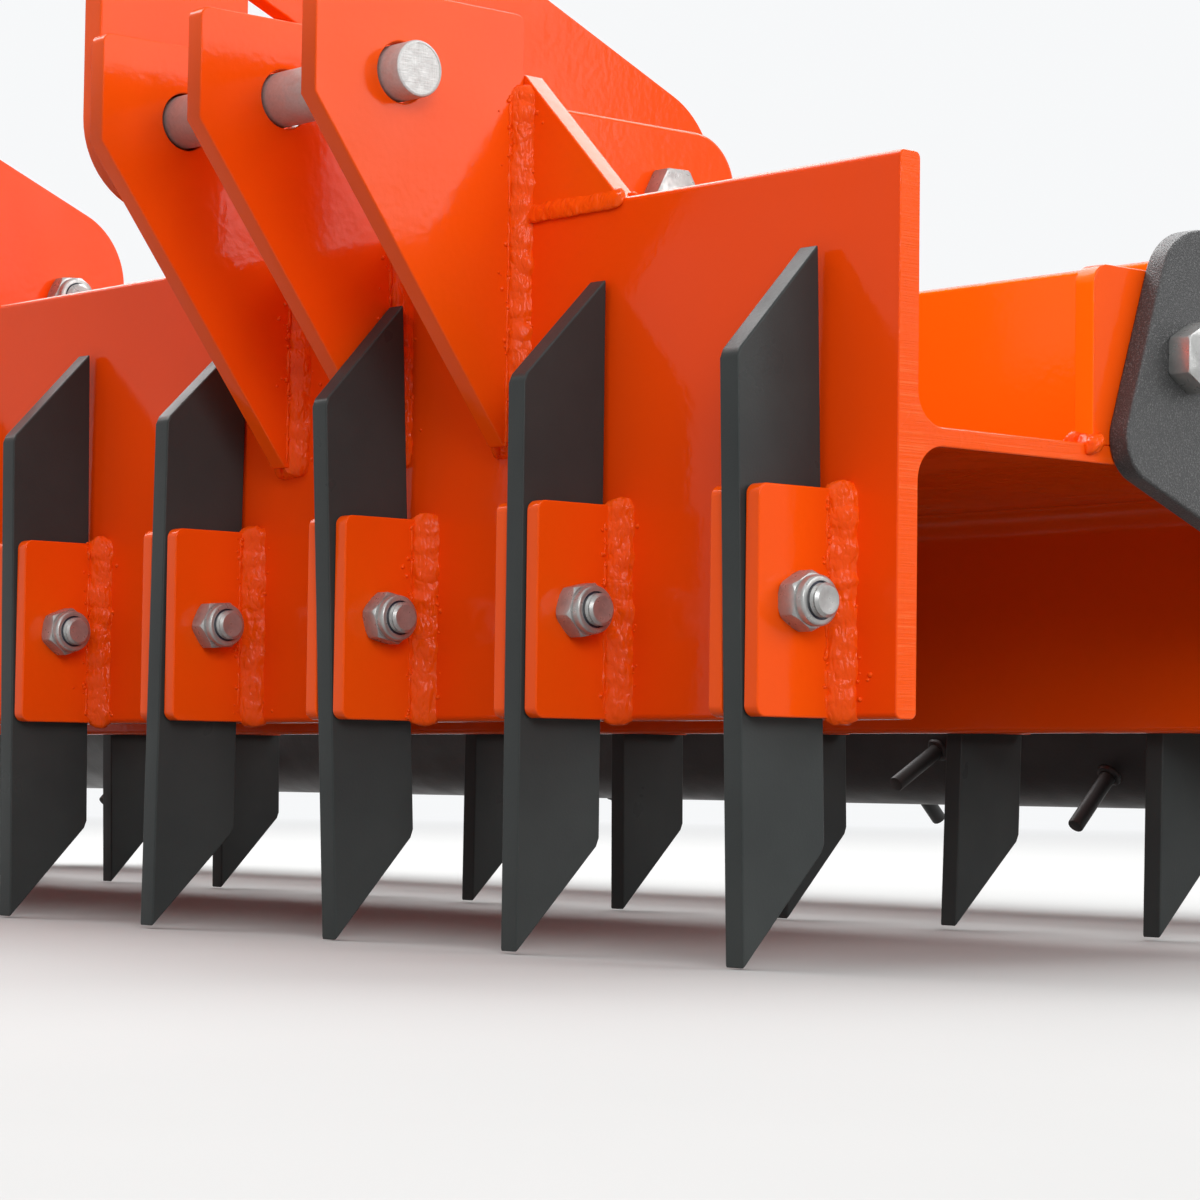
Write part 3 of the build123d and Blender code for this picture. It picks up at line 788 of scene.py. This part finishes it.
def makeHead(kind):
    hexagon = makeHex(kind["flats"], kind["headHigh"], hexShape["headChamfer"])
    bpy.ops.mesh.primitive_cylinder_add(
        vertices=48, radius=kind["flats"] * headFace["share"], depth=headFace["thick"],
        location=(0, 0, headFace["thick"] / 2),
    )
    face = bpy.context.object
    settlePlace(face)
    head = joinPieces([hexagon, face], "head")
    head.data.materials.append(looks["zincPlate"])
    return head


alongX = {1: Matrix.Rotation(radians(90), 4, "Y"), -1: Matrix.Rotation(radians(-90), 4, "Y")}


# Each spot: head point, nut point, nut side, nut roll, head roll
def placeFasteners(name, kind, spots, node):
    nut, end, head = makeNut(kind), makeThreadEnd(kind), makeHead(kind)
    pieces = []
    for headPoint, nutPoint, side, roll, headRoll in spots:
        nutTurn = alongX[side] @ Matrix.Rotation(radians(roll), 4, "Z")
        headTurn = alongX[-side] @ Matrix.Rotation(radians(headRoll), 4, "Z")
        pieces.append(copyTo(nut, Vector(nutPoint), nutTurn))
        pieces.append(copyTo(end, Vector(nutPoint), nutTurn))
        pieces.append(copyTo(head, Vector(headPoint), headTurn))
    for part in (nut, end, head):
        throwAway(part)
    piece = joinPieces(pieces, name)
    pickOnly(piece)
    bpy.ops.object.shade_smooth_by_angle(angle=radians(32))
    finishPiece(piece, None, "frame", [node])


random.seed(11)
frontRolls = {10: 30, 9: 12, 8: 47, 7: 4, 6: 21}  # as the nuts happen to sit, in degrees
headRollShare = 1.7  # the heads sit turned otherwise than the nuts
armRolls = (20, 30)  # nuts and heads
for row in ("front", "rear"):
    boltsLow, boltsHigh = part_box(row + "_tooth_bolts")
    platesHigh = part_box(row + "_tooth_plates")[1]
    places = toothPlaces(row)
    plateOuter = platesHigh.x - places[-1]
    y, z = (boltsLow.y + boltsHigh.y) / 2, (boltsLow.z + boltsHigh.z) / 2
    spots = []
    for index, x in enumerate(places):
        roll = random.uniform(0, 60)
        if row == "front":
            roll = frontRolls.get(index, roll)
        spots.append(((x - plateOuter, y, z), (x + plateOuter, y, z), 1, roll, roll * headRollShare))
    placeFasteners(row + "ToothBolts", toothFastener, spots, row + "_tooth_bolts")

boltPlaces = {  # distance behind the beam's front face, height over its lower edge
    "arm": ((0.149, 0.140), (0.233, 0.130)),
    "brace": ((0.222, 0.255), (-0.062, 0.386)),
}
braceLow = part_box("mast_brace_left")[0]
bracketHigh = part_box("rear_bracket_left")[1]
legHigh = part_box("mast_leg_left")[1]
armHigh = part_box("roller_arm_left")[1]
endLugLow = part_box("end_lug_left")[0]
spots = []
for side in (1, -1):
    for (back, height), outer in zip(boltPlaces["brace"], (bracketHigh.x, legHigh.x)):
        y, z = beamLow.y + back, beamLow.z + height
        roll = random.uniform(0, 60)
        spots.append(((side * outer, y, z), (side * braceLow.x, y, z), -side, roll, roll * headRollShare))
placeFasteners("braceBolts", heavyFastener, spots, "brace_bolts")
spots = []
for side in (1, -1):
    for back, height in boltPlaces["arm"]:
        y, z = beamLow.y + back, beamLow.z + height
        spots.append(((side * armHigh.x, y, z), (side * endLugLow.x, y, z), -side, *armRolls))
placeFasteners("armBolts", heavyFastener, spots, "arm_bolts")
print("bolts and nuts set")


# Hitch pins

pin = {
    "radius": 0.0111, "chamfer": 0.0009, "rim": 0.0003, "dish": 0.00015, "seat": 0.002,
    "headHigh": 0.007, "headRadius": 0.017, "headChamfer": 0.0014,
}

for side, sign in (("left", 1), ("right", -1)):
    low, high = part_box("hitch_pin_" + side)
    y, z = (low.y + high.y) / 2, (low.z + high.z) / 2
    length = high.x - low.x
    middle = (length + pin["seat"]) / 2  # the shaft starts inside the head
    bpy.ops.mesh.primitive_cylinder_add(
        vertices=64, radius=pin["radius"], depth=length - pin["seat"], location=(0, 0, middle)
    )
    shaft = bpy.context.object
    settlePlace(shaft)
    editWith(shaft, "EDGE")
    selectEdges(shaft, lambda a, b: abs(a.z - b.z) < 0.001)
    bpy.ops.mesh.bevel(offset=pin["chamfer"], segments=2)
    bpy.ops.mesh.select_mode(type="FACE")
    selectFaces(shaft, lambda centre, normal: normal.z > 0.99)
    bpy.ops.mesh.inset(thickness=pin["rim"])
    extrudeRing(-pin["dish"])
    leaveEdit()
    bpy.ops.mesh.primitive_cylinder_add(
        vertices=64, radius=pin["headRadius"], depth=pin["headHigh"], location=(0, 0, pin["headHigh"] / 2)
    )
    disc = bpy.context.object
    settlePlace(disc)
    editWith(disc, "EDGE")
    selectEdges(disc, lambda a, b: abs(a.z - b.z) < 0.001)
    bpy.ops.mesh.bevel(offset=pin["headChamfer"], segments=2)
    leaveEdit()
    whole = joinPieces([shaft, disc], "pin")
    start = low.x if sign > 0 else high.x
    piece = copyTo(whole, Vector((start, y, z)), alongX[sign])
    piece.name = "hitchPin_" + side
    throwAway(whole)
    pickOnly(piece)
    bpy.ops.object.shade_smooth_by_angle(angle=radians(30))
    finishPiece(piece, "turnedSteel", "frame", ["hitch_pin_" + side])
print("hitch pins turned")


# Roller: drum, end discs, stub axles and welded spikes

roller = {
    "drum": 0.057, "wall": 0.006, "rimRound": 0.0012, "discIn": 0.003, "endGap": 0.018,
    "axle": 0.019, "axleLap": 0.006, "axleChamfer": 0.0015, "centreHole": 0.0062, "holeDeep": 0.004,
    "spike": 0.004, "reach": 0.093, "spikeFrom": 0.05, "tipRound": 0.0008, "collar": 0.0019,
    "rings": 12, "pitch": 0.106, "turn": 15.0, "middleAngle": 172.5, "perRing": 3,
}
endRings = (  # weld rings: radius, thickness, distance in from the drum's end
    (roller["axle"] + 0.001, 0.0045, 0.003),
    (roller["drum"] - 0.0062, 0.0024, 0.003),
)
rollerJoint = next(joint for joint in frame["joints"] if joint["name"] == "roller_spin")
axis = Vector(rollerJoint["pos_m"])
drumHalf = beamHigh.x - roller["endGap"]
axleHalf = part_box("roller")[1].x

bpy.ops.mesh.primitive_cylinder_add(vertices=96, radius=roller["drum"], depth=2 * drumHalf)
drum = bpy.context.object
for top in (1, -1):
    editWith(drum, "EDGE")
    selectEdges(drum, lambda a, b: top * a.z > drumHalf * 0.99 and top * b.z > drumHalf * 0.99)
    bpy.ops.mesh.bevel(offset=roller["rimRound"], segments=2)
    bpy.ops.mesh.select_mode(type="FACE")
    selectFaces(drum, lambda centre, normal: top * normal.z > 0.99)
    bpy.ops.mesh.inset(thickness=roller["wall"] - roller["rimRound"])
    extrudeRing(-top * roller["discIn"])
    leaveEdit()
discs = [drum]
for top in (1, -1):
    length = axleHalf - drumHalf + roller["axleLap"]
    bpy.ops.mesh.primitive_cylinder_add(
        vertices=64, radius=roller["axle"], depth=length, location=(0, 0, length / 2)
    )
    axle = bpy.context.object
    settlePlace(axle)
    editWith(axle, "EDGE")
    selectEdges(axle, lambda a, b: min(a.z, b.z) > length * 0.99)
    bpy.ops.mesh.bevel(offset=roller["axleChamfer"], segments=2)
    bpy.ops.mesh.select_mode(type="FACE")
    selectFaces(axle, lambda centre, normal: normal.z > 0.99)
    bpy.ops.mesh.inset(thickness=roller["axle"] - roller["centreHole"])
    extrudeRing(-roller["holeDeep"], 0.15)
    leaveEdit()
    flip = Matrix.Rotation(radians(180), 4, "X") if top < 0 else Matrix.Identity(4)
    discs.append(copyTo(axle, Vector((0, 0, top * (drumHalf - roller["axleLap"]))), flip))
    throwAway(axle)
    for ringRadius, ringThick, inset in endRings:
        bpy.ops.mesh.primitive_torus_add(
            major_radius=ringRadius, minor_radius=ringThick, major_segments=120, minor_segments=10,
            location=(0, 0, top * (drumHalf - inset)),
        )
        ring = bpy.context.object
        settlePlace(ring)
        makeLumpy(ring, 0.6)
        discs.append(ring)
core = joinPieces(discs, "core")

bpy.ops.mesh.primitive_cylinder_add(
    vertices=20, radius=roller["spike"], depth=roller["reach"] - roller["spikeFrom"],
    location=(0, 0, (roller["reach"] + roller["spikeFrom"]) / 2),
)
spike = bpy.context.object
settlePlace(spike)
editWith(spike, "EDGE")
selectEdges(spike, lambda a, b: min(a.z, b.z) > roller["reach"] - 0.0001)
bpy.ops.mesh.bevel(offset=roller["tipRound"], segments=2)
leaveEdit()
bpy.ops.mesh.primitive_torus_add(
    major_radius=roller["spike"] + 0.0006, minor_radius=roller["collar"], major_segments=28, minor_segments=8,
    location=(0, 0, roller["drum"] + 0.0002),
)
collar = bpy.context.object
settlePlace(collar)
pieces = [copyTo(core, axis, alongX[1])]
throwAway(core)
collars = []
for ring in range(roller["rings"]):
    step = ring - (roller["rings"] - 1) / 2
    for number in range(roller["perRing"]):
        angle = radians(roller["middleAngle"] + step * roller["turn"] + number * 360 / roller["perRing"])
        outward = Vector((0, cos(angle), sin(angle)))
        side = Vector((1, 0, 0))
        turn = Matrix((outward.cross(side), side, outward)).transposed().to_4x4()
        place = axis + Vector((step * roller["pitch"], 0, 0))
        pieces.append(copyTo(spike, place, turn))
        collars.append(copyTo(collar, place, turn))
throwAway(spike)
throwAway(collar)
welds = joinPieces(collars, "spikeWelds")
makeLumpy(welds, 0.45)
body = joinPieces(pieces + [welds], "rollerBody")
pickOnly(body)
bpy.ops.object.shade_smooth_by_angle(angle=radians(35))
finishPiece(body, "rollerCoat", "roller", ["roller"])
print("roller built")


# Bearings: cast flange housings

bearing = {
    "size": 0.092, "flange": 0.012, "corner": 0.014, "edge": 0.0022, "boltSpacing": 0.066,
    "hub": 0.032, "hubFoot": 0.004, "hubBase": 0.002,
    "hubSteps": ((0.0012, 0.93), (0.0025, 0.965), (0.0058, 0.95), (0.0018, 0.955)),  # rise and growth
    "capSteps": ((0.0045, -0.0035, 0.99), (0.0035, 0.0045, 0.985)),  # inset, rise and growth
    "nipple": 0.0042, "nippleHigh": 0.004, "nippleInset": 0.0012,
    "nippleSteps": ((0.0022, 0.8), (0.0006, 1.35), (0.0020, 0.9), (0.0008, 0.6)),
}

bpy.ops.mesh.primitive_cube_add(size=1, location=(0, 0, bearing["flange"] / 2))
housing = bpy.context.object
housing.scale = (bearing["size"], bearing["size"], bearing["flange"])
settlePlace(housing)
editWith(housing, "EDGE")
selectEdges(housing, lambda a, b: abs(a.z - b.z) > 0.01)
bpy.ops.mesh.bevel(offset=bearing["corner"], segments=8)
bpy.ops.mesh.select_mode(type="FACE")
selectFaces(housing, lambda centre, normal: normal.z > 0.99)
bpy.ops.mesh.bevel(offset=bearing["edge"], segments=3)
leaveEdit()
bpy.ops.mesh.primitive_cylinder_add(
    vertices=72, radius=bearing["hub"] + bearing["hubFoot"], depth=bearing["hubBase"],
    location=(0, 0, bearing["flange"]),
)
hub = bpy.context.object
settlePlace(hub)
editWith(hub)
selectFaces(hub, lambda centre, normal: normal.z > 0.99)
for rise, grow in bearing["hubSteps"]:
    extrudeRing(rise, grow)
for inset, rise, grow in bearing["capSteps"]:
    bpy.ops.mesh.inset(thickness=inset)
    extrudeRing(rise, grow)
leaveEdit()
bpy.ops.mesh.primitive_cylinder_add(vertices=6, radius=bearing["nipple"], depth=bearing["nippleHigh"])
nipple = bpy.context.object
editWith(nipple)
selectFaces(nipple, lambda centre, normal: normal.z > 0.99)
bpy.ops.mesh.inset(thickness=bearing["nippleInset"])
for rise, grow in bearing["nippleSteps"]:
    extrudeRing(rise, grow)
leaveEdit()
slant = Matrix.Rotation(radians(-45), 4, "X")
fitting = copyTo(nipple, Vector((0, bearing["hub"] - 0.002, bearing["flange"] + 0.005)), slant)
throwAway(nipple)
whole = joinPieces([housing, hub, fitting], "bearingWhole")
pickOnly(whole)
bpy.ops.object.shade_smooth_by_angle(angle=radians(38))
for side, sign in (("left", 1), ("right", -1)):
    low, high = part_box("roller_bearing_" + side)
    start = low.x if sign > 0 else high.x
    up = Matrix.Rotation(radians(sign * 90), 4, "Z")
    piece = copyTo(whole, Vector((start, axis.y, axis.z)), alongX[sign] @ up)
    piece.name = "bearing_" + side
    finishPiece(piece, "casting", "frame", ["roller_bearing_" + side])
throwAway(whole)
spots = []
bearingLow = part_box("roller_bearing_left")[0]
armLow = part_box("roller_arm_left")[0]
half = bearing["boltSpacing"] / 2
for side in (1, -1):
    outer = bearingLow.x + bearing["flange"]
    for behind in (-half, half):
        for over in (-half, half):
            y, z = axis.y + behind, axis.z + over
            roll = random.uniform(0, 60)
            spots.append(((side * outer, y, z), (side * armLow.x, y, z), -side, roll, roll * headRollShare))
thinNut = dict(toothFastener, nutHigh=0.0072, hexHigh=0.0050, stickOut=0.0008, collar=0.0090)
placeFasteners("bearingBolts", thinNut, spots, "bearing_bolts")
print("bearings bolted on")


# Studio: pale floor, soft lamps

studio = {
    "floorSize": 60,
    "floorTone": (0.46, 0.46, 0.455),
    "bounceTone": (0.22, 0.22, 0.21),  # what the floor sends back up
    "backTone": (0.93, 0.94, 0.95),
    "floorFade": (1.3, 3.4),  # metres from the middle
    "worldLight": 0.55,
    "lamps": [  # name, place, aimed at, width, depth, watts
        ("overhead", (-0.5, -0.8, 2.8), (0.1, 0, 0.2), 4.4, 3.4, 35),
        ("leftTop", (-1.7, 0.1, 2.2), (0.3, 0.0, 0.15), 2.6, 1.8, 74),
        ("key", (2.9, -1.6, 1.2), (0.4, -0.2, 0.2), 1.3, 1.2, 34),
        ("rearLeft", (3.2, 1.35, 1.45), (0.4, -0.2, 0.2), 1.9, 1.4, 36),
        ("rearStrip", (0.1, 1.9, 2.6), (0.3, -0.1, 0.3), 2.8, 1.2, 66),
        ("frontFill", (1.3, -2.7, 2.2), (0.2, -0.2, 0.2), 2.2, 2.0, 5),
    ],
}


def seenDirectly(tree):  # 1 for camera, mirror and glass rays, 0 for light that lands on the object
    path = tree.nodes.new("ShaderNodeLightPath")
    seen = combine(tree, "MAXIMUM", path.outputs["Is Camera Ray"], path.outputs["Is Transmission Ray"])
    return combine(tree, "MAXIMUM", seen, path.outputs["Is Glossy Ray"])


def floorFinish():
    finish, tree, shader, place = startFinish("floorFinish")
    bounced = tree.nodes.new("ShaderNodeLightPath").outputs["Is Diffuse Ray"]
    tone = blendTones(tree, bounced, studio["floorTone"], studio["bounceTone"])
    tree.links.new(tone, shader.inputs["Base Color"])
    rough = spread(tree, noiseOn(tree, place, 3, 3), 0.3, 0.7, 0.75, 0.9)
    tree.links.new(rough, shader.inputs["Roughness"])
    far = tree.nodes.new("ShaderNodeVectorMath")  # far off, the floor runs into the backdrop
    far.operation = "LENGTH"
    tree.links.new(place, far.inputs[0])
    distant = spread(tree, far.outputs["Value"], *studio["floorFade"])
    glow = tree.nodes.new("ShaderNodeEmission")
    glow.inputs["Color"].default_value = (*studio["backTone"], 1)
    both = tree.nodes.new("ShaderNodeMixShader")
    tree.links.new(combine(tree, "MULTIPLY", distant, seenDirectly(tree)), both.inputs[0])
    tree.links.new(shader.outputs[0], both.inputs[1])
    tree.links.new(glow.outputs[0], both.inputs[2])
    tree.links.new(both.outputs[0], tree.nodes["Material Output"].inputs["Surface"])
    return finish


bpy.ops.mesh.primitive_plane_add(size=studio["floorSize"])
floor = bpy.context.object
floor.name = "floor"
floor.data.materials.append(floorFinish())

world = bpy.data.worlds.new("studio")
bpy.context.scene.world = world
world.use_nodes = True
sky = world.node_tree
glow = sky.nodes["Background"]
glow.inputs["Color"].default_value = (*studio["backTone"], 1)
sky.links.new(spread(sky, seenDirectly(sky), 0, 1, studio["worldLight"], 1.0), glow.inputs["Strength"])

for name, place, target, wide, deep, watts in studio["lamps"]:
    aim = (Vector(target) - Vector(place)).to_track_quat("-Z", "Y").to_euler()
    bpy.ops.object.light_add(type="AREA", location=place, rotation=aim)
    lamp = bpy.context.object
    lamp.name = name
    lamp.data.shape = "RECTANGLE"
    lamp.data.size = wide
    lamp.data.size_y = deep
    lamp.data.energy = watts
bpy.context.scene.view_settings.view_transform = "Standard"
print("studio lit")
